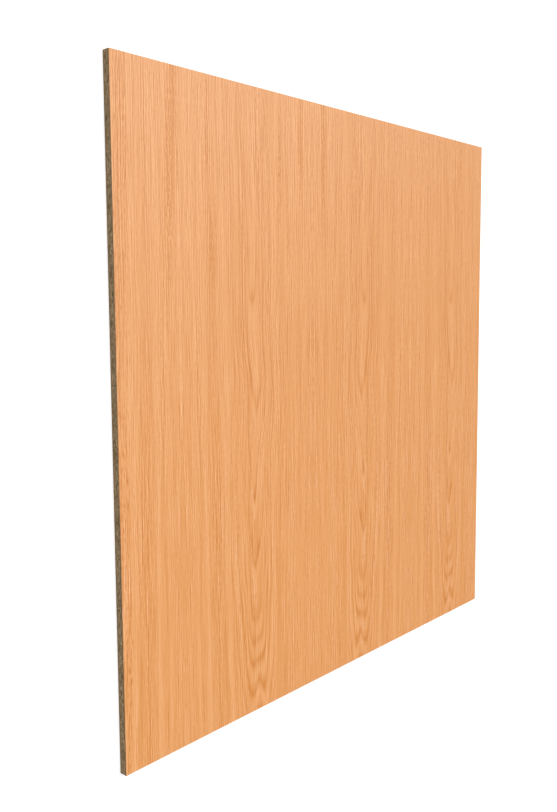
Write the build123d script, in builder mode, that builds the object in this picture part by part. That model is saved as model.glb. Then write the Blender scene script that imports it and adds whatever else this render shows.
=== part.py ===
from build123d import *
import os

# Melamine board: a square panel of chipboard with a melamine paper pressed on each face.
# It lies flat with its show side up. The origin is the middle of the underside,
# +X runs across the grain of the decor, +Y runs along the grain and +Z points up.

# Driving dimensions, in millimetres
panel_width = 1220.0  # across the grain
panel_length = 1220.0  # along the grain
panel_thickness = 16.0  # over both papers
face_paper_thickness = 0.2  # decor paper on the show side
back_paper_thickness = 0.2  # balancing paper on the underside

# The chipboard fills what the two papers leave of the thickness
core_bottom = back_paper_thickness
core_top = panel_thickness - face_paper_thickness

# Balancing paper, which keeps the board from cupping
with BuildPart() as melamine_back:
    with BuildSketch(Plane.XY):
        Rectangle(panel_width, panel_length)
    extrude(amount=back_paper_thickness)
melamine_back.part.label = "melamine_back"

# Chipboard, pressed from wood chips, with its four sawn edges bare
with BuildPart() as chipboard_core:
    with BuildSketch(Plane.XY.offset(core_bottom)):
        Rectangle(panel_width, panel_length)
    extrude(amount=core_top - core_bottom)
chipboard_core.part.label = "chipboard_core"

# Decor paper with the printed wood grain, cut flush with the chipboard by the same saw
with BuildPart() as melamine_face:
    with BuildSketch(Plane.XY.offset(core_top)):
        Rectangle(panel_width, panel_length)
    extrude(amount=face_paper_thickness)
melamine_face.part.label = "melamine_face"

os.makedirs("parts", exist_ok=True)
export_step(melamine_back.part, "parts/melamine_back.step")
export_step(chipboard_core.part, "parts/chipboard_core.step")
export_step(melamine_face.part, "parts/melamine_face.step")
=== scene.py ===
from math import radians

import bpy
import numpy as np
from mathutils import Matrix, Vector


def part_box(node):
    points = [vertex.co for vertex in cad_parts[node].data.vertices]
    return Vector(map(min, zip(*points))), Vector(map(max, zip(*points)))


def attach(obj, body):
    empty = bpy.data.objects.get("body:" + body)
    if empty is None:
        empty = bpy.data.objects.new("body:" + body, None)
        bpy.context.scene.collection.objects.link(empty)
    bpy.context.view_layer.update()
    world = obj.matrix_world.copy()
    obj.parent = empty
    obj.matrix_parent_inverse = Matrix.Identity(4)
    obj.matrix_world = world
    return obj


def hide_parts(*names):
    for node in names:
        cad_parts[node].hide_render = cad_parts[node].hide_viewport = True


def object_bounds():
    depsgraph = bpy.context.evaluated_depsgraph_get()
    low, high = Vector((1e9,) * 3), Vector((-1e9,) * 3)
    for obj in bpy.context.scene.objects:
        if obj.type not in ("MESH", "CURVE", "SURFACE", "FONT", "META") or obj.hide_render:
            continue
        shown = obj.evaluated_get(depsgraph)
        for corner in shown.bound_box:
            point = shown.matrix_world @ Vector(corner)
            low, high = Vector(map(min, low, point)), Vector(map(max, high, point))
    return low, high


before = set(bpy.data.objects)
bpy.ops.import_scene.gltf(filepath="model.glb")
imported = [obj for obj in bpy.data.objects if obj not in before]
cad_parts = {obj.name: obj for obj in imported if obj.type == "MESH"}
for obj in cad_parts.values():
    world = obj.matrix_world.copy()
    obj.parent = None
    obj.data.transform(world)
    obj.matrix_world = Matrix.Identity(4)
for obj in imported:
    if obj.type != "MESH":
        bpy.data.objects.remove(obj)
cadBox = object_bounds()
scene = bpy.context.scene
scene.view_settings.view_transform = "Standard"


# the board's own sizes, read from the frame, in metres
lowCorner, highCorner = cadBox
coreLow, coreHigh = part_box("chipboard_core")
endY = lowCorner.y  # the end of the board that is nearer in the picture


def linear(red, green, blue):
    # a colour as a screen shows it, 0 to 255, as the linear values that shaders take
    seen = np.array([red, green, blue]) / 255
    values = np.where(seen <= 0.04045, seen / 12.92, ((seen + 0.055) / 1.055) ** 2.4)
    return (*(float(value) for value in values), 1.0)


# Camera: above the left side of the board, looking down on it. The photograph is cropped a little off its
# lens's middle, and the lens shift follows that.
cameraView = {
    "eye": (-1.5246, 0.1962, 1.1776),
    "aim": (-0.2053, 0.0273, 0.016),
    "lens": 39.094,  # millimetres, on a sensor 36 mm along the picture's longer side
    "roll": -0.376,  # degrees
    "lensShift": -0.0179,  # upwards, as a share of the picture's longer side
}


def makeCamera(view):
    data = bpy.data.cameras.new("camera")
    data.lens = view["lens"]
    data.shift_y = view["lensShift"]
    camera = bpy.data.objects.new("camera", data)
    scene.collection.objects.link(camera)
    eye = Vector(view["eye"])
    ahead = (Vector(view["aim"]) - eye).normalized()
    right = ahead.cross(Vector((0, 1, 0))).normalized()  # the board's grain stands upright in the picture
    up = right.cross(ahead)
    turned = Matrix((right, up, -ahead)).transposed().to_4x4()
    camera.matrix_world = Matrix.Translation(eye) @ turned @ Matrix.Rotation(radians(view["roll"]), 4, "Z")
    scene.camera = camera


makeCamera(cameraView)
print("camera placed")


# Node helpers. A value may be a number or the output of another node.
def put(tree, value, socket):
    if isinstance(value, bpy.types.NodeSocket):
        tree.links.new(value, socket)
    else:
        socket.default_value = value


def calc(tree, operation, *values, clamp=False):
    node = tree.nodes.new("ShaderNodeMath")
    node.operation = operation
    node.use_clamp = clamp
    for value, socket in zip(values, node.inputs):
        put(tree, value, socket)
    return node.outputs[0]


def blend(tree, share, first, second):
    # first where share is 0, second where it is 1
    node = tree.nodes.new("ShaderNodeMix")
    node.data_type = "FLOAT"
    put(tree, share, node.inputs[0])
    put(tree, first, node.inputs[2])
    put(tree, second, node.inputs[3])
    return node.outputs[0]


def blendColors(tree, share, first, second, how="MIX"):
    node = tree.nodes.new("ShaderNodeMix")
    node.data_type = "RGBA"
    node.blend_type = how
    put(tree, share, node.inputs[0])
    put(tree, first, node.inputs[6])
    put(tree, second, node.inputs[7])
    return node.outputs[2]


def ease(tree, value, start, end, low=0.0, high=1.0):
    # a smooth step from low to high while value goes from start to end
    node = tree.nodes.new("ShaderNodeMapRange")
    node.interpolation_type = "SMOOTHSTEP"
    put(tree, value, node.inputs[0])
    for socket, number in zip(node.inputs[1:5], (start, end, low, high)):
        socket.default_value = number
    return node.outputs[0]


def bell(tree, value, middle, width):
    # exp(-((value - middle) / width)^2)
    away = calc(tree, "DIVIDE", calc(tree, "SUBTRACT", value, middle), width)
    return calc(tree, "EXPONENT", calc(tree, "MULTIPLY", calc(tree, "MULTIPLY", away, away), -1.0))


def curve(tree, value, points, handles="AUTO_CLAMPED"):
    # the height of a curve through (value, height) points, level beyond its ends
    places, heights = np.array(points, dtype=float).T
    low, high = heights.min(), heights.max()
    span = high - low if high > low else 1.0
    first, last = float(places[0]), float(places[-1])
    share = calc(tree, "DIVIDE", calc(tree, "SUBTRACT", value, first), last - first)
    node = tree.nodes.new("ShaderNodeFloatCurve")
    line = node.mapping.curves[0]
    stops = (places - places[0]) / (places[-1] - places[0])
    levels = (heights - low) / span
    while len(line.points) < len(stops):
        line.points.new(0.5, 0.5)
    for point, stop, level in zip(line.points, stops, levels):
        point.location = (float(stop), float(level))
        point.handle_type = handles
    node.mapping.update()
    put(tree, calc(tree, "ADD", share, 0.0, clamp=True), node.inputs["Value"])
    return calc(tree, "MULTIPLY_ADD", node.outputs[0], float(span), float(low))


def vector(tree, x=0.0, y=0.0, z=0.0):
    node = tree.nodes.new("ShaderNodeCombineXYZ")
    for value, socket in zip((x, y, z), node.inputs):
        put(tree, value, socket)
    return node.outputs[0]


def noise(tree, place, detail=2.0, roughness=0.6, distortion=0.0):
    # cloudy noise with features about one unit of place across, spread evenly round 0
    node = tree.nodes.new("ShaderNodeTexNoise")
    put(tree, place, node.inputs["Vector"])
    node.inputs["Scale"].default_value = 1.0
    node.inputs["Detail"].default_value = detail
    node.inputs["Roughness"].default_value = roughness
    node.inputs["Distortion"].default_value = distortion
    return calc(tree, "SUBTRACT", node.outputs[0], 0.5)


def ramp(tree, value, *stops):
    node = tree.nodes.new("ShaderNodeValToRGB")
    elements = node.color_ramp.elements
    while len(elements) < len(stops):
        elements.new(0.5)
    for element, (place, color) in zip(elements, stops):
        element.position = place
        element.color = color
    put(tree, value, node.inputs[0])
    return node.outputs[0]


def newGroup(name, inputs, outputs):
    # inputs and outputs are (name, kind) pairs, and an input may have a value as well
    tree = bpy.data.node_groups.new(name, "ShaderNodeTree")
    for label, kind, *value in inputs:
        socket = tree.interface.new_socket(name=label, in_out="INPUT", socket_type="NodeSocket" + kind)
        if value:
            socket.default_value = value[0]
    for label, kind in outputs:
        tree.interface.new_socket(name=label, in_out="OUTPUT", socket_type="NodeSocket" + kind)
    return tree, tree.nodes.new("NodeGroupInput").outputs, tree.nodes.new("NodeGroupOutput").inputs


def useGroup(tree, group, **values):
    node = tree.nodes.new("ShaderNodeGroup")
    node.node_tree = group
    for label, value in values.items():
        put(tree, value, node.inputs[label])
    return node.outputs


def newMaterial(name):
    material = bpy.data.materials.new(name)
    material.use_nodes = True
    tree = material.node_tree
    shader = next(node for node in tree.nodes if node.type == "BSDF_PRINCIPLED")
    return material, tree, shader.inputs


def spread(tree):
    # lays the nodes out in columns, in the order in which they were made
    for index, node in enumerate(tree.nodes):
        node.location = (index // 8 * 220, -(index % 8) * 200)


# Printed oak decor. The print is one picture of a flat-sawn oak board, turned back on itself again and
# again across the board. All sizes are metres: across from a mirror line, along from the lower end.
decor = {
    "mirrorLine": -0.0966,  # a place along X where the picture turns back
    "picture": 0.3708,  # its width, from one mirror line to the next
    # noise that shakes the lines: waves per metre across and along, a place of its own, and detail
    "wander": (9.0, 3.2, 0.0, 1.0),
    "tremble": (70.0, 16.0, 4.0, 2.0),
    "figureShake": (0.010, 0.0035),  # how far wander and tremble move the figure's rings
    "fibreShake": (0.005, 0.0007),  # and the straight fibres beside it
    # the figure's middle line, and how far its rings tilt to one side: pairs that start with the place along
    "middle": ((0.0, 0.176), (0.20, 0.178), (0.35, 0.183), (0.51, 0.183), (0.63, 0.173), (0.71, 0.178),
               (0.81, 0.183), (0.965, 0.184), (1.22, 0.190)),
    "tilt": ((0.02, 0.0), (0.10, 0.3), (0.19, 0.3), (0.30, -0.7), (0.37, -2.5), (0.45, -1.6), (0.51, 0.0),
             (0.62, 0.1), (0.69, 1.2), (0.80, 0.5), (0.965, -0.5)),
    "tiltReach": 0.02,
    # each growth ring of the figure: where its tip lies along the board, its radius there, and its strength
    "rings": ((1.30, 0.41, 0.1), (1.14, 1.24, 0.2), (0.986, 1.34, 0.1), (0.82, 1.46, 0.9),
              (0.61, 1.63, 0.9), (0.43, 1.93, 1.3), (0.293, 2.19, 1.0), (0.19, 2.35, 0.5),
              (0.142, 2.48, 0.65), (0.10, 2.71, 0.95), (0.035, 3.24, 1.0), (-0.020, 4.60, 0.8)),
    "ringStep": 0.6,  # between the rings outside the figure
    "outerRings": 8,
    "outerStrength": 0.3,
    "ringReach": 0.0233,  # half the width, in metres, that counts as a radius of 1
    "openingReach": 1.5,  # radii beside the middle line, beyond which the rings run side by side
    "besideStep": 2.0,
    # how a ring opens above its tip, along the board: under 1 like a V, over 1 like a U
    "opening": ((0.04, 2.6), (0.10, 2.1), (0.14, 1.9), (0.20, 1.7), (0.26, 1.0), (0.30, 0.72), (0.41, 0.65),
                (0.51, 0.5), (0.61, 0.8), (0.71, 1.8), (0.82, 1.4), (0.92, 1.1)),
    # the lowest tips look like a W
    "notch": ((0.0, 0.026), (0.066, 0.027), (0.10, 0.003), (0.13, 0.005), (0.16, 0.0)),
    "notchMiddle": -0.003,
    "notchWidth": 0.0097,
    # how thick the late wood is, as a share of its ring, at the tips and on the flanks
    "tipThickness": ((0.05, 0.15), (0.12, 0.26), (0.30, 0.10)),
    "flankThickness": ((0.22, 0.30), (0.30, 0.20), (0.42, 0.06), (0.54, 0.06), (0.64, 0.20), (0.80, 0.30)),
    "flankFrom": (0.08, 0.30),  # the slants between which a ring's tip passes into its flank
    "innerFall": 1.3,  # how the late wood fades to its inner side
    "outerFall": 1.5,
    "outerShare": 0.5,  # of its thickness that lies on the outer side
    "paleBell": (2.1, 1.3),  # middle and width of the pale start of a ring, in thicknesses of the late wood
    "uneven": (60.0, 9.0, 9.0, 2.0),  # noise, as above, that makes the rings stronger and weaker
    "unevenDepth": 1.6,
    # from the first place to the second, a factor that goes from the third value to the fourth
    "farFlanks": (0.60, 0.95, 1.0, 0.7),
    "footFlanks": (0.36, 0.10, 0.0, 0.45),  # added to the flanks near the foot
    "paleSides": (-0.012, 0.012, 0.60, 0.35),  # the pale start, left and right of the middle line
    "paleAlong": (0.50, 0.85, 1.0, 0.25),
    "figureWidth": 0.075,
    "besideFigure": 0.15,  # the share of the rings' strength that is left far from the figure
    # towards the lower end the fibres close in on the figure: along, and how strongly, in square metres
    "bulge": ((0.0, 0.00130), (0.10, 0.00100), (0.29, 0.00060), (0.61, 0.00019), (0.81, 0.0),
              (1.22, -0.00022)),
    "bulgeWidth": 0.06,
    "fibreMiddle": 0.1785,
    # spots where late wood swells, or patches of pale wood where the strength is below 0: across, along,
    # half width, half height and strength
    "spots": ((0.1720, 0.337, 0.0055, 0.014, 0.6), (0.1905, 0.668, 0.0050, 0.024, 0.5),
              (0.1990, 0.397, 0.0028, 0.025, 0.6), (0.1930, 0.350, 0.0028, 0.020, 0.6),
              (0.2000, 0.575, 0.0030, 0.024, 0.5), (0.1740, 0.487, 0.0030, 0.012, 0.3),
              (0.1925, 0.490, 0.0025, 0.030, 0.5), (0.1825, 0.434, 0.0035, 0.008, 0.5),
              (0.1480, 0.200, 0.0022, 0.035, 0.5), (0.1810, 0.500, 0.0070, 0.050, -0.35),
              (0.1735, 0.695, 0.0050, 0.050, -0.4), (0.1570, 0.540, 0.0050, 0.060, -0.4),
              (0.1640, 0.460, 0.0055, 0.050, -0.4), (0.2045, 0.440, 0.0040, 0.030, -0.3),
              (0.1650, 0.830, 0.0040, 0.040, -0.3), (0.1640, 0.185, 0.0040, 0.014, -0.3),
              (0.1330, 0.160, 0.0020, 0.100, -0.3)),
    # streaks: across at mid height, half width, and strength near the top, at mid height and near the foot
    "streaks": (
        (0.030, 0.0035, 0.0, 0.4, 0.6), (0.067, 0.0045, 0.3, 0.7, 0.4), (0.117, 0.0045, 0.5, 0.6, 0.5),
        (0.240, 0.0035, 0.0, 0.5, 0.5), (0.258, 0.0060, 0.3, 0.8, 1.3), (0.312, 0.0040, 0.0, 0.8, 0.9),
        (0.341, 0.0035, 0.0, 0.5, 0.6), (0.038, 0.0090, -0.3, -0.1, 0.0), (0.080, 0.0040, -0.5, -0.4, 0.0),
        (0.100, 0.0055, -0.6, -0.2, 0.0), (0.085, 0.0060, 0.0, 0.0, -0.5), (0.136, 0.0028, -0.5, -0.5, 0.0),
        (0.237, 0.0030, -0.5, -0.2, 0.0), (0.262, 0.0030, -0.3, 0.0, 0.0), (0.291, 0.0100, -0.5, -0.5, -0.1),
        (0.283, 0.0090, 0.0, -0.4, -0.5), (0.323, 0.0070, 0.0, 0.1, 0.7), (0.353, 0.0090, -0.1, -0.2, 0.4),
        (0.368, 0.0035, -0.2, 0.0, 0.0),
    ),
    "streakHeights": (1.07, 0.61, 0.15),
    # dark mottled bands, the only marks that aren't mirrored: place along X, place along, half width,
    # half length, lean and strength
    "bands": ((-0.4830, 1.10, 0.0110, 0.230, 0.05, 2.8), (-0.3850, 0.905, 0.0100, 0.085, 0.04, 1.7),
              (-0.3975, 1.10, 0.0025, 0.120, 0.02, 2.6), (-0.5900, 1.12, 0.0140, 0.230, 0.00, 1.1),
              (-0.0580, 1.12, 0.0100, 0.130, 0.00, 2.4), (-0.1340, 1.13, 0.0080, 0.080, 0.00, 2.4),
              (-0.1990, 1.07, 0.0040, 0.100, 0.02, 3.0), (0.0450, 1.03, 0.0040, 0.030, 0.00, 1.5)),
    "palerCorner": (0.61, 0.86, 0.34, 0.38, 0.50),  # in the same order, without a lean
    "bandTint": (1.0, 0.98, 0.84),  # the bands are a little more olive than the rest
    "bandMottle": (-5.5, 0.75),  # times the mottle, and plus this
    "fullBand": 3.0,  # the strength from which a band has all of its tint
    # noise drawn out along the grain: its cell across and along, a place of its own in the noise, its detail
    # and its roughness
    "noises": {
        "mottle": (0.0022, 0.010, 181.0, 2.0, 0.8),
        "calmZones": (0.016, 0.50, 161.0, 1.0),
        "broad": (0.012, 0.50, 1.0, 1.0),
        "medium": (0.0060, 0.10, 21.0, 1.0),
        "lines": (0.0032, 0.30, 81.0, 2.0, 0.8),
        "fine": (0.0018, 0.028, 41.0, 1.0),
        "threads": (0.0028, 0.11, 201.0, 0.0),
        "speck": (0.0024, 0.010, 101.0, 1.0),
        "pores": (0.0007, 0.012, 61.0, 0.0),
        "dashes": (0.0016, 0.022, 121.0, 1.0),
        "dashGroups": (0.014, 0.30, 141.0, 1.0),
    },
    "neighbour": 0.7,  # how many cells off a crisp noise's neighbour lies
    "weights": {"broad": 0.16, "medium": 0.20, "lines": 0.48, "fine": 0.66, "threads": 0.36, "speck": 0.22},
    # how lively the grain is: spread, mean, least and most, more where the wood is dark, more at the left rim
    "lively": {"spread": 2.3, "mean": 0.72, "least": 0.25, "most": 1.4, "inPale": -0.25, "atRim": 0.35},
    "livelyAcross": (0.98, 1.85),  # times this at the left and at the right of the board
    "livelyAlong": (0.10, 0.60, 0.84, 1.0),  # and from the first height to the second, times these
    "rim": (-0.600, -0.570),  # along X, where the busy left rim ends
    "poreRange": (0.10, 0.22),  # where in the noise the short pores begin and are full
    "poreGroups": (1.5, 0.6),
    "dashRange": (0.06, 0.24),
    "dashGroup": {"spread": 3.0, "mean": 0.30, "atRim": 0.5, "inPale": -0.4},
    "dashDepth": (0.40, 1.10, 0.07, 0.15),  # from the first height to the second, and the depth at each
    "dashDepthAtRim": 0.45,
    "streakDepth": 0.07,
    "ringDepth": 0.16,
    "poreDepth": 0.05,
    "paleLimit": (0.3, 0.8, 0.2, 1.6),  # how much pale wood is held back, as heights and values again
    "mean": (227, 157, 94),
    "grainTint": (0.85, 1.74, 3.70),  # how much faster green and blue fall than red as the grain darkens
    "toneSpan": 0.32,  # natural log of red at the dark end of the ramp
}


def streakCurve(level):
    # sum of the streaks' bells over the fibre coordinate, from the left of the picture to the right
    atMid = np.interp(decor["streakHeights"][1], *np.array(decor["bulge"]).T)
    fibre = np.linspace(-0.23, 0.23, 185)
    tone = np.zeros_like(fibre)
    for across, width, *strengths in decor["streaks"]:
        away = across - decor["fibreMiddle"]
        place = away * (1 + atMid / (away ** 2 + decor["bulgeWidth"] ** 2))
        tone += strengths[level] * np.exp(-((fibre - place) / width) ** 2)
    return list(zip(fibre, tone))


def makeOakDecor():
    tree, given, result = newGroup(
        "oakDecor",
        [("Vector", "Vector"), ("Figure", "Float", 1.0), ("Streaks", "Float", 1.0), ("Pores", "Float", 1.0)],
        [("Color", "Color"), ("Tone", "Float"), ("Pore Mask", "Float")],
    )

    def do(operation, *values, clamp=False):
        return calc(tree, operation, *values, clamp=clamp)

    split = tree.nodes.new("ShaderNodeSeparateXYZ")
    tree.links.new(given["Vector"], split.inputs[0])
    across = do("PINGPONG", do("SUBTRACT", split.outputs[0], decor["mirrorLine"]), decor["picture"])
    along = do("SUBTRACT", split.outputs[1], endY)

    def waves(place, countAcross, countAlong, level, detail):
        spot = vector(tree, do("MULTIPLY", place, countAcross), do("MULTIPLY", along, countAlong), level)
        return noise(tree, spot, detail)

    # a slow wander and a small tremble of every line
    wander = waves(across, *decor["wander"])
    tremble = waves(across, *decor["tremble"])
    far, near = decor["figureShake"]
    moved = do("ADD", across, do("MULTIPLY_ADD", wander, far, do("MULTIPLY", tremble, near)))
    far, near = decor["fibreShake"]
    calm = do("MULTIPLY_ADD", wander, far, do("MULTIPLY_ADD", tremble, near, across))
    away = do("SUBTRACT", moved, curve(tree, along, sorted(decor["middle"])))

    # ring radius: sqrt(side^2 + depth(along)^2), where side is a power of the way across
    reach = do("DIVIDE", do("ABSOLUTE", away), decor["ringReach"])
    side = do("POWER", do("MINIMUM", reach, decor["openingReach"]), curve(tree, along, decor["opening"]))
    beside = do("MAXIMUM", do("SUBTRACT", reach, decor["openingReach"]), 0.0)
    side = do("MULTIPLY_ADD", beside, decor["besideStep"], side)
    notch = bell(tree, away, decor["notchMiddle"], decor["notchWidth"])
    notch = do("MULTIPLY", curve(tree, along, decor["notch"]), notch)
    nearTip = do("MINIMUM", do("MAXIMUM", away, -decor["tiltReach"]), decor["tiltReach"])
    tilted = do("MULTIPLY_ADD", nearTip, curve(tree, along, decor["tilt"]), along)
    tips = [(height, size) for height, size, strength in sorted(decor["rings"])]
    depth = curve(tree, do("SUBTRACT", tilted, notch), tips)
    radius = do("SQRT", do("MULTIPLY_ADD", side, side, do("MULTIPLY", depth, depth)))

    # ring number, growing outwards
    innerRadii = [size for height, size, strength in decor["rings"]]
    outerRadii = [innerRadii[-1] + decor["ringStep"] * (step + 1) for step in range(decor["outerRings"])]
    radii = innerRadii + outerRadii
    number = curve(tree, radius, [(value, index) for index, value in enumerate(radii)], "VECTOR")
    through = do("FRACT", number)

    # late wood: a soft dark edge on the inner side, a quick one on the outer, then a pale start of the next
    slant = do("DIVIDE", side, radius)
    onFlank = ease(tree, slant, *decor["flankFrom"])
    atTip = curve(tree, along, decor["tipThickness"])
    thick = blend(tree, onFlank, atTip, curve(tree, along, decor["flankThickness"]))
    inner = do("POWER", do("DIVIDE", do("SUBTRACT", 1.0, through), thick), decor["innerFall"])
    outer = do("DIVIDE", through, do("MULTIPLY", thick, decor["outerShare"]))
    outer = do("POWER", outer, decor["outerFall"])
    late = do("EXPONENT", do("MULTIPLY", do("MINIMUM", inner, outer), -1.0))
    pale = bell(tree, do("DIVIDE", through, thick), *decor["paleBell"])
    strengths = [(index, strength) for index, (height, size, strength) in enumerate(decor["rings"])]
    strengths += [(len(strengths), decor["outerStrength"]), (len(radii) - 1, 0.0)]
    uneven = do("MULTIPLY_ADD", waves(moved, *decor["uneven"]), decor["unevenDepth"], 1.0)
    strength = do("MULTIPLY", curve(tree, number, strengths, "VECTOR"), uneven)
    strength = do("MULTIPLY", strength, ease(tree, slant, *decor["farFlanks"]))
    nearFoot = do("MULTIPLY", onFlank, ease(tree, along, *decor["footFlanks"]))
    strength = do("MULTIPLY_ADD", strength, nearFoot, strength)
    inFigure = bell(tree, away, 0.0, decor["figureWidth"])
    pale = do("MULTIPLY", pale, ease(tree, away, *decor["paleSides"]))
    pale = do("MULTIPLY", pale, ease(tree, along, *decor["paleAlong"]))
    figure = do("MULTIPLY", do("SUBTRACT", late, pale), strength)
    figure = do("MULTIPLY", figure, blend(tree, inFigure, decor["besideFigure"], 1.0))
    for spotAcross, spotAlong, halfWidth, halfHeight, spotStrength in decor["spots"]:
        sideways = bell(tree, moved, spotAcross, halfWidth)
        spot = do("MULTIPLY", sideways, bell(tree, along, spotAlong, halfHeight))
        figure = do("MULTIPLY_ADD", spot, spotStrength, figure)

    # fibre coordinate: across, drawn out where the fibres close in, and straight far from the figure
    closing = curve(tree, along, decor["bulge"])
    closing = do("DIVIDE", closing, do("MULTIPLY_ADD", away, away, decor["bulgeWidth"] ** 2))
    straight = do("SUBTRACT", calm, decor["fibreMiddle"])
    nearFigure = bell(tree, away, 0.0, decor["bulgeWidth"])
    fibre = do("MULTIPLY_ADD", away, closing, blend(tree, nearFigure, straight, away))
    top, middle, foot = (curve(tree, fibre, streakCurve(level), "VECTOR") for level in range(3))
    high, mid, low = decor["streakHeights"]
    lower = blend(tree, ease(tree, along, low, mid), foot, middle)
    listed = blend(tree, ease(tree, along, mid, high), lower, top)

    def flowing(name, shift=0.0):
        acrossCell, alongCell, level, *character = decor["noises"][name]
        x = do("MULTIPLY_ADD", fibre, 1 / acrossCell, shift)
        return noise(tree, vector(tree, x, do("DIVIDE", along, alongCell), level), *character)

    def crisp(name):
        # the noise less its neighbour across the grain, so that only narrow lines are left
        return do("SUBTRACT", flowing(name), flowing(name, decor["neighbour"]))

    # the bands, each a bell along and a flat-topped one across, exp(-(away / width)^4), broken up by mottle
    dark = 0.0
    for bandX, bandAlong, halfWidth, halfLength, lean, bandStrength in decor["bands"]:
        leaning = do("MULTIPLY_ADD", along, -lean, do("ADD", split.outputs[0], bandAlong * lean - bandX))
        wide = bell(tree, do("MULTIPLY", leaning, leaning), 0.0, halfWidth ** 2)
        band = do("MULTIPLY", wide, bell(tree, along, bandAlong, halfLength))
        dark = do("MULTIPLY_ADD", band, bandStrength, dark)
    broken = do("MULTIPLY_ADD", flowing("mottle"), *decor["bandMottle"])
    listed = do("SUBTRACT", listed, do("MULTIPLY", dark, broken))
    paleX, paleAlong, halfWidth, halfLength, paleStrength = decor["palerCorner"]
    corner = bell(tree, split.outputs[0], paleX, halfWidth)
    corner = do("MULTIPLY", corner, bell(tree, along, paleAlong, halfLength))
    listed = do("MULTIPLY_ADD", corner, paleStrength, listed)

    # calm zones and busy ones, busiest where the wood is dark
    lively = decor["lively"]
    busy = do("MULTIPLY_ADD", flowing("calmZones"), lively["spread"], lively["mean"])
    busy = do("MULTIPLY_ADD", listed, lively["inPale"], busy)
    busy = do("MINIMUM", do("MAXIMUM", busy, lively["least"]), lively["most"])
    rim = ease(tree, split.outputs[0], *decor["rim"], 1.0, 0.0)
    busy = do("MULTIPLY_ADD", rim, lively["atRim"], busy)
    toRight = ease(tree, split.outputs[0], lowCorner.x, highCorner.x, *decor["livelyAcross"])
    busy = do("MULTIPLY", busy, toRight)
    busy = do("MULTIPLY", busy, ease(tree, along, *decor["livelyAlong"]))

    weights = decor["weights"]
    broad, medium = flowing("broad"), flowing("medium")
    grain = do("MULTIPLY", flowing("speck"), weights["speck"])
    for name in ("fine", "lines", "threads"):
        grain = do("MULTIPLY_ADD", crisp(name), weights[name], grain)
    streak = do("ADD", do("MULTIPLY", broad, weights["broad"]), do("MULTIPLY", medium, weights["medium"]))
    streak = do("MULTIPLY_ADD", grain, busy, streak)

    # pores: short fine dashes, and longer ones that lie in groups, most of all near the top
    pores = ease(tree, flowing("pores"), *decor["poreRange"])
    pores = do("MULTIPLY", pores, do("MULTIPLY_ADD", medium, *decor["poreGroups"], clamp=True))
    dashes = ease(tree, flowing("dashes"), *decor["dashRange"])
    dashGroup = decor["dashGroup"]
    group = do("MULTIPLY_ADD", rim, dashGroup["atRim"], dashGroup["mean"])
    group = do("MULTIPLY_ADD", flowing("dashGroups"), dashGroup["spread"], group)
    group = do("MULTIPLY_ADD", listed, dashGroup["inPale"], group, clamp=True)
    dashDepth = do("MULTIPLY_ADD", rim, decor["dashDepthAtRim"], ease(tree, along, *decor["dashDepth"]))
    streak = do("SUBTRACT", streak, do("MULTIPLY", do("MULTIPLY", dashes, group), dashDepth))

    # tone: minus is darker, and the palest wood is held back
    tone = do("MULTIPLY", do("ADD", streak, do("MULTIPLY", listed, decor["streakDepth"])), given["Streaks"])
    tone = do("SUBTRACT", tone, do("MULTIPLY", figure, do("MULTIPLY", given["Figure"], decor["ringDepth"])))
    tone = do("SUBTRACT", tone, do("MULTIPLY", pores, do("MULTIPLY", given["Pores"], decor["poreDepth"])))
    over = do("MAXIMUM", tone, 0.0)
    heldBack = do("MULTIPLY", do("MULTIPLY", over, over), ease(tree, along, *decor["paleLimit"]))
    tone = do("SUBTRACT", tone, heldBack)
    tree.links.new(tone, result["Tone"])
    tree.links.new(pores, result["Pore Mask"])

    # colour: mean * exp(tone * tint), as a ramp from the dark end to the pale end
    mean = np.array(linear(*decor["mean"])[:3])
    tint = np.array(decor["grainTint"])
    stops = []
    for place in (0.0, 0.25, 0.5, 0.75, 1.0):
        color = mean * np.exp((place - 0.5) * 2 * decor["toneSpan"] * tint)
        stops.append((place, (*(float(channel) for channel in np.minimum(color, 1.0)), 1.0)))
    share = do("MULTIPLY_ADD", tone, 0.5 / decor["toneSpan"], 0.5, clamp=True)
    inBand = do("MULTIPLY", dark, 1 / decor["fullBand"], clamp=True)
    tint = (*decor["bandTint"], 1.0)
    tree.links.new(blendColors(tree, inBand, ramp(tree, share, *stops), tint, "MULTIPLY"), result["Color"])
    spread(tree)
    return tree


oakDecor = makeOakDecor()
print("oak decor group built")


# Melamine faces: the decor paper under clear satin resin, pressed with a very faint pore texture
melamine = {
    "roughness": 0.40,
    "resin": 1.63,  # index of refraction
    "poreRoughness": 0.12,  # on top, in the pores
    "poreDepth": 0.000006,
    "poreStrength": 0.5,
    "cutPaper": (150, 112, 74),  # the papers' sawn edge, stained by the resin
    "cutRoughness": 0.75,
}


def makeMelamine(name):
    material, tree, shader = newMaterial(name)
    where = tree.nodes.new("ShaderNodeTexCoord")
    grain = useGroup(tree, oakDecor, Vector=where.outputs["Object"])
    split = tree.nodes.new("ShaderNodeSeparateXYZ")
    tree.links.new(where.outputs["Normal"], split.inputs[0])
    flat = calc(tree, "GREATER_THAN", calc(tree, "ABSOLUTE", split.outputs[2]), 0.5)
    put(tree, blendColors(tree, flat, linear(*melamine["cutPaper"]), grain["Color"]), shader["Base Color"])
    satin = calc(tree, "MULTIPLY_ADD", grain["Pore Mask"], melamine["poreRoughness"], melamine["roughness"])
    put(tree, blend(tree, flat, melamine["cutRoughness"], satin), shader["Roughness"])
    bump = tree.nodes.new("ShaderNodeBump")
    bump.invert = True
    bump.inputs["Strength"].default_value = melamine["poreStrength"]
    bump.inputs["Distance"].default_value = melamine["poreDepth"]
    put(tree, grain["Pore Mask"], bump.inputs["Height"])
    put(tree, bump.outputs[0], shader["Normal"])
    shader["IOR"].default_value = melamine["resin"]
    spread(tree)
    return material


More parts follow.
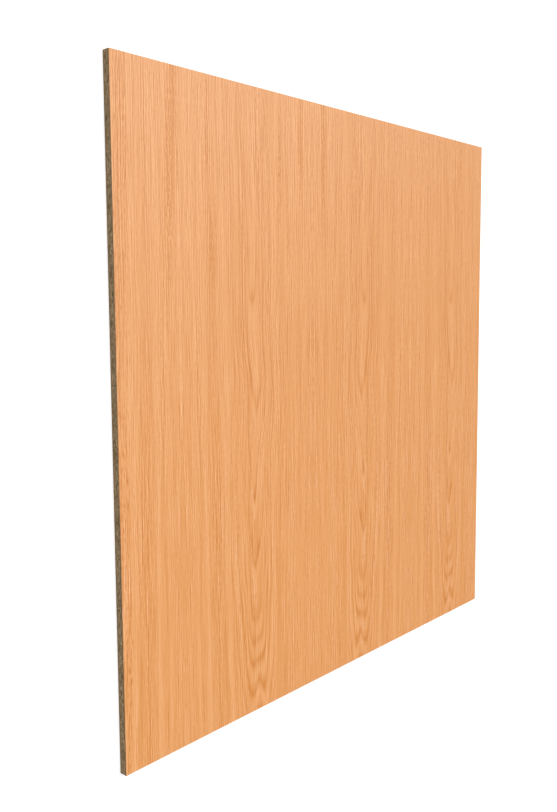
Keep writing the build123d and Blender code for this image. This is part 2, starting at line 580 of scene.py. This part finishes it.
for node in ("melamine_face", "melamine_back"):
    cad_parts[node].data.materials.clear()
    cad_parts[node].data.materials.append(makeMelamine(node.replace("melamine", "oakMelamine")))
print("melamine faces finished")


# Chipboard core: the CAD core's box with its four sawn sides pitted where chips have torn out.
# A point of a side is (walk round the board, height), and its relief only goes inwards.
chipboard = {
    "cell": 0.00125,  # along a side
    "rows": 15,  # over the thickness
    "pitDepth": 0.0008,
    "pitLength": 0.0035,
    "pitHeight": 0.0009,
    "pitWalls": (0.9, 1.4, 0.7),  # a pit is clip((noise - first) / second, 0, 1) ^ third
    "sawRoughness": 0.00008,
    "sawSpread": (1.2, 3.0),  # the saw's relief is clip(noise + first, 0, second)
    "coarseLayer": 0.42,  # half the height of the middle layer, as a share of the thickness
    "plainCorner": 0.004,  # the relief grows from nothing over this much of a side
    "seed": 16,
}


def softNoise(shape, lengths, random):
    # random values blurred by a bell over each direction, through the Fourier transform, so that they repeat
    spectrum = np.fft.fft2(random.standard_normal(shape))
    for axis, length in enumerate(lengths):
        waves = np.fft.fftfreq(shape[axis]).reshape([-1 if axis == other else 1 for other in range(2)])
        spectrum *= np.exp(-2 * (np.pi * waves * length) ** 2)
    values = np.fft.ifft2(spectrum).real
    return values / values.std()


def makeChipboard():
    width, length = coreHigh.x - coreLow.x, coreHigh.y - coreLow.y
    across, alongCount = round(width / chipboard["cell"]), round(length / chipboard["cell"])
    rows = chipboard["rows"]
    random = np.random.default_rng(chipboard["seed"])

    # the walk round the board, anticlockwise from the low corner
    x = np.concatenate([np.linspace(coreLow.x, coreHigh.x, across, endpoint=False),
                        np.full(alongCount, coreHigh.x),
                        np.linspace(coreHigh.x, coreLow.x, across, endpoint=False),
                        np.full(alongCount, coreLow.x)])
    y = np.concatenate([np.full(across, coreLow.y),
                        np.linspace(coreLow.y, coreHigh.y, alongCount, endpoint=False),
                        np.full(across, coreHigh.y),
                        np.linspace(coreHigh.y, coreLow.y, alongCount, endpoint=False)])
    inX = np.repeat([0.0, -1.0, 0.0, 1.0], [across, alongCount, across, alongCount])
    inY = np.repeat([1.0, 0.0, -1.0, 0.0], [across, alongCount, across, alongCount])
    around = len(x)
    toCorner = np.minimum(x - coreLow.x, coreHigh.x - x) + np.minimum(y - coreLow.y, coreHigh.y - y)
    z = np.linspace(coreLow.z, coreHigh.z, rows + 1)
    share = (z - coreLow.z) / (coreHigh.z - coreLow.z)

    # pits in the coarse middle layer, a light roughness all over, nothing at the rims and corners
    shape = (2 * rows + 2, around)
    layer = (coreHigh.z - coreLow.z) / rows
    sizes = (chipboard["pitHeight"] / layer, chipboard["pitLength"] / chipboard["cell"])
    coarse = softNoise(shape, sizes, random)[:rows + 1]
    rough = softNoise(shape, (0.5, 0.6), random)[:rows + 1]
    middle = np.clip(1 - (np.abs(share - 0.5) / chipboard["coarseLayer"]) ** 4, 0, 1)[:, None]
    pitFrom, pitOver, wallPower = chipboard["pitWalls"]
    pits = np.clip((coarse - pitFrom) / pitOver, 0, 1) ** wallPower * middle
    sawLevel, sawMost = chipboard["sawSpread"]
    relief = chipboard["pitDepth"] * pits + chipboard["sawRoughness"] * np.clip(rough + sawLevel, 0, sawMost)
    relief *= np.clip(toCorner / chipboard["plainCorner"], 0, 1)[None, :]
    relief[0] = relief[-1] = 0
    points = np.stack([x + inX * relief, y + inY * relief, np.broadcast_to(z[:, None], relief.shape)], -1)

    # quads between the rows, and a fan over each flat side, hidden by the papers
    here = np.arange(around)
    after = np.roll(here, -1)
    first = np.arange(rows)[:, None] * around
    corners = [first + here, first + after, first + around + after, first + around + here]
    quads = np.stack(corners, -1).reshape(-1, 4)
    last = rows * around
    bottomMiddle, topMiddle = (rows + 1) * around, (rows + 1) * around + 1
    under = np.stack([after, here, np.full(around, bottomMiddle)], -1)
    over = np.stack([last + here, last + after, np.full(around, topMiddle)], -1)
    middles = [[0, 0, coreLow.z], [0, 0, coreHigh.z]]
    mesh = bpy.data.meshes.new("chipboard_sawn")
    faces = [*quads.tolist(), *under.tolist(), *over.tolist()]
    mesh.from_pydata(np.concatenate([points.reshape(-1, 3), middles]), [], faces)
    depth = mesh.attributes.new("pitDepth", "FLOAT", "POINT")
    depth.data.foreach_set("value", np.concatenate([pits.ravel(), [0, 0]]).astype(np.float32))
    mesh.update()
    core = bpy.data.objects.new("chipboard_sawn", mesh)
    scene.collection.objects.link(core)
    return core


# the chips' colours and sizes
chips = {
    "dark": (102, 85, 61),
    "brown": (140, 117, 85),
    "tan": (172, 146, 110),
    "pale": (207, 181, 142),
    "gap": (78, 61, 43),
    "coarse": (0.0055, 0.0010),  # length and height, in metres
    "small": (0.0018, 0.0005),
    "smallFrom": (0.0042, 0.0058),  # from the middle of the thickness, where the coarse chips end
    "smallTones": (0.7, 0.12),  # the small chips' tones are times the first, and plus the second
    "shake": (0.003, 0.003, 0.0012),  # how far noise moves the chips' outlines
    "shakeScale": 160.0,
    "outline": 0.09,  # width of the gap round a chip, as a share of the chip
    "outlineShade": 0.6,  # how far the gap's colour takes over there
    # how far the pits are painted darker, a painted shade in the recesses
    "pitPaintedShade": 0.6,
    "roughness": 0.85,
    "sheen": 0.2,
    "bumpDepth": 0.0003,
    "bumpStrength": 0.6,
    "bumpOfTone": 0.6,  # how far a paler chip stands out
    # the upper rim is darker, towards the gap colour, more and more towards the lower end
    "darkRimHeight": (0.0115, 0.0155),
    "darkRimAlong": (0.0, -0.45, 0.05, 0.45),
}


def makeChipMaterial():
    material, tree, shader = newMaterial("chipboard")
    where = tree.nodes.new("ShaderNodeTexCoord")
    warp = tree.nodes.new("ShaderNodeTexNoise")
    warp.inputs["Scale"].default_value = chips["shakeScale"]
    tree.links.new(where.outputs["Object"], warp.inputs["Vector"])
    shake = tree.nodes.new("ShaderNodeVectorMath")
    shake.operation = "MULTIPLY_ADD"
    tree.links.new(warp.outputs["Color"], shake.inputs[0])
    shake.inputs[1].default_value = chips["shake"]
    tree.links.new(where.outputs["Object"], shake.inputs[2])

    def layerOfChips(length, height, level):
        # flat chips as stretched cells: a random number for each one, and how near its edge is
        scaled = tree.nodes.new("ShaderNodeVectorMath")
        scaled.operation = "MULTIPLY"
        tree.links.new(shake.outputs[0], scaled.inputs[0])
        scaled.inputs[1].default_value = (1 / length, 1 / length, 1 / height)
        cells = tree.nodes.new("ShaderNodeTexVoronoi")
        cells.inputs["Scale"].default_value = 1.0
        tree.links.new(scaled.outputs[0], cells.inputs["Vector"])
        edge = tree.nodes.new("ShaderNodeTexVoronoi")
        edge.feature = "DISTANCE_TO_EDGE"
        edge.inputs["Scale"].default_value = 1.0
        tree.links.new(scaled.outputs[0], edge.inputs["Vector"])
        split = tree.nodes.new("ShaderNodeSeparateColor")
        tree.links.new(cells.outputs["Color"], split.inputs[0])
        return split.outputs[level], ease(tree, edge.outputs[0], 0.0, chips["outline"])

    coarse, coarseEdge = layerOfChips(*chips["coarse"], 0)
    small, smallEdge = layerOfChips(*chips["small"], 1)
    split = tree.nodes.new("ShaderNodeSeparateXYZ")
    tree.links.new(where.outputs["Object"], split.inputs[0])
    aboveMiddle = calc(tree, "SUBTRACT", split.outputs[2], (coreLow.z + coreHigh.z) / 2)
    outer = ease(tree, calc(tree, "ABSOLUTE", aboveMiddle), *chips["smallFrom"])
    pick = blend(tree, outer, coarse, calc(tree, "MULTIPLY_ADD", small, *chips["smallTones"]))
    edge = blend(tree, outer, coarseEdge, smallEdge)
    color = ramp(tree, pick, (0.0, linear(*chips["dark"])), (0.35, linear(*chips["brown"])),
                 (0.7, linear(*chips["tan"])), (1.0, linear(*chips["pale"])))
    inside = blend(tree, edge, 1 - chips["outlineShade"], 1.0)
    color = blendColors(tree, inside, linear(*chips["gap"]), color)
    # painted shade in the pits: the deeper a pit, the more its colour goes towards the gap colour
    pit = tree.nodes.new("ShaderNodeAttribute")
    pit.attribute_name = "pitDepth"
    paintedPitShade = calc(tree, "MULTIPLY", pit.outputs["Fac"], chips["pitPaintedShade"])
    color = blendColors(tree, paintedPitShade, color, linear(*chips["gap"]))
    # the upper rim darkens towards the gap colour, more towards the lower end
    rim = ease(tree, split.outputs[2], *chips["darkRimHeight"])
    darkRim = calc(tree, "MULTIPLY", rim, ease(tree, split.outputs[1], *chips["darkRimAlong"]))
    color = blendColors(tree, darkRim, color, linear(*chips["gap"]))
    put(tree, color, shader["Base Color"])
    shader["Roughness"].default_value = chips["roughness"]
    shader["Specular IOR Level"].default_value = chips["sheen"]
    bump = tree.nodes.new("ShaderNodeBump")
    bump.inputs["Strength"].default_value = chips["bumpStrength"]
    bump.inputs["Distance"].default_value = chips["bumpDepth"]
    put(tree, calc(tree, "MULTIPLY_ADD", pick, chips["bumpOfTone"], edge), bump.inputs["Height"])
    put(tree, bump.outputs[0], shader["Normal"])
    spread(tree)
    return material


core = makeChipboard()
core.data.materials.append(makeChipMaterial())
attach(core, "root")
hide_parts("chipboard_core")
print("chipboard core built:", len(core.data.polygons), "faces")


# Studio: a pale floor just under the board, a room that is brightest overhead and behind, and two soft lamps
studio = {
    "floorSize": 14.0,
    "floorDrop": 0.0002,
    "floorColor": 0.70,
    "floorGlow": 0.48,  # added for what the camera sees of the floor, so that it is white up to the shadow
    # the room's light grows overhead and to the back, roomLight * (upward * z + backward * y - darkRise),
    # and is never below 0
    "roomLight": 0.83,
    "upward": 0.905,
    "backward": 0.36,
    "darkRise": 0.31,
    # soft lamps far off: where each comes from, how many degrees wide it looks from the board, and its power
    "lamps": {
        "key": ((0.30, 0.58, 0.76), 80.0, 2.48),
        "fill": ((-0.80, -0.15, 0.58), 110.0, 1.29),
    },
}


def makeFloor():
    half = studio["floorSize"] / 2
    z = lowCorner.z - studio["floorDrop"]
    mesh = bpy.data.meshes.new("floor")
    corners = [(-half, -half, z), (half, -half, z), (half, half, z), (-half, half, z)]
    mesh.from_pydata(corners, [], [(0, 1, 2, 3)])
    floor = bpy.data.objects.new("floor", mesh)
    scene.collection.objects.link(floor)
    material = bpy.data.materials.new("floorPaint")
    material.use_nodes = True
    tree = material.node_tree
    tree.nodes.clear()
    paint = tree.nodes.new("ShaderNodeBsdfDiffuse")
    paint.inputs[0].default_value = (*[studio["floorColor"]] * 3, 1.0)
    seen = tree.nodes.new("ShaderNodeLightPath")
    glow = tree.nodes.new("ShaderNodeEmission")
    watched = calc(tree, "MAXIMUM", seen.outputs["Is Camera Ray"],
                   calc(tree, "MAXIMUM", seen.outputs["Is Glossy Ray"], seen.outputs["Is Transmission Ray"]))
    put(tree, calc(tree, "MULTIPLY", watched, studio["floorGlow"]), glow.inputs["Strength"])
    both = tree.nodes.new("ShaderNodeAddShader")
    tree.links.new(paint.outputs[0], both.inputs[0])
    tree.links.new(glow.outputs[0], both.inputs[1])
    result = tree.nodes.new("ShaderNodeOutputMaterial")
    tree.links.new(both.outputs[0], result.inputs[0])
    spread(tree)
    mesh.materials.append(material)


def makeRoom():
    world = bpy.data.worlds.new("room")
    world.use_nodes = True
    scene.world = world
    tree = world.node_tree
    tree.nodes.clear()
    seen = tree.nodes.new("ShaderNodeLightPath")
    light = tree.nodes.new("ShaderNodeBackground")
    white = tree.nodes.new("ShaderNodeBackground")
    where = tree.nodes.new("ShaderNodeTexCoord")
    split = tree.nodes.new("ShaderNodeSeparateXYZ")
    tree.links.new(where.outputs["Generated"], split.inputs[0])
    toBack = calc(tree, "MULTIPLY", split.outputs[1], studio["backward"])
    rise = calc(tree, "MULTIPLY_ADD", split.outputs[2], studio["upward"], toBack)
    lit = calc(tree, "MULTIPLY", calc(tree, "SUBTRACT", rise, studio["darkRise"]), studio["roomLight"])
    put(tree, calc(tree, "MAXIMUM", lit, 0.0), light.inputs["Strength"])
    white.inputs["Strength"].default_value = 1.0
    for shader in (light, white):
        shader.inputs["Color"].default_value = (1, 1, 1, 1)
    pick = tree.nodes.new("ShaderNodeMixShader")
    tree.links.new(seen.outputs["Is Camera Ray"], pick.inputs[0])
    tree.links.new(light.outputs[0], pick.inputs[1])
    tree.links.new(white.outputs[0], pick.inputs[2])
    result = tree.nodes.new("ShaderNodeOutputWorld")
    tree.links.new(pick.outputs[0], result.inputs[0])
    spread(tree)


def makeLamp(name, source, width, power):
    # a sun lamp, because it lights the whole board alike
    data = bpy.data.lights.new(name, "SUN")
    data.angle = radians(width)
    data.energy = power
    lamp = bpy.data.objects.new(name, data)
    scene.collection.objects.link(lamp)
    lamp.matrix_world = (-Vector(source)).to_track_quat("-Z", "Y").to_matrix().to_4x4()


makeFloor()
makeRoom()
for name, (source, width, power) in studio["lamps"].items():
    makeLamp(name, source, width, power)
print("studio lit")
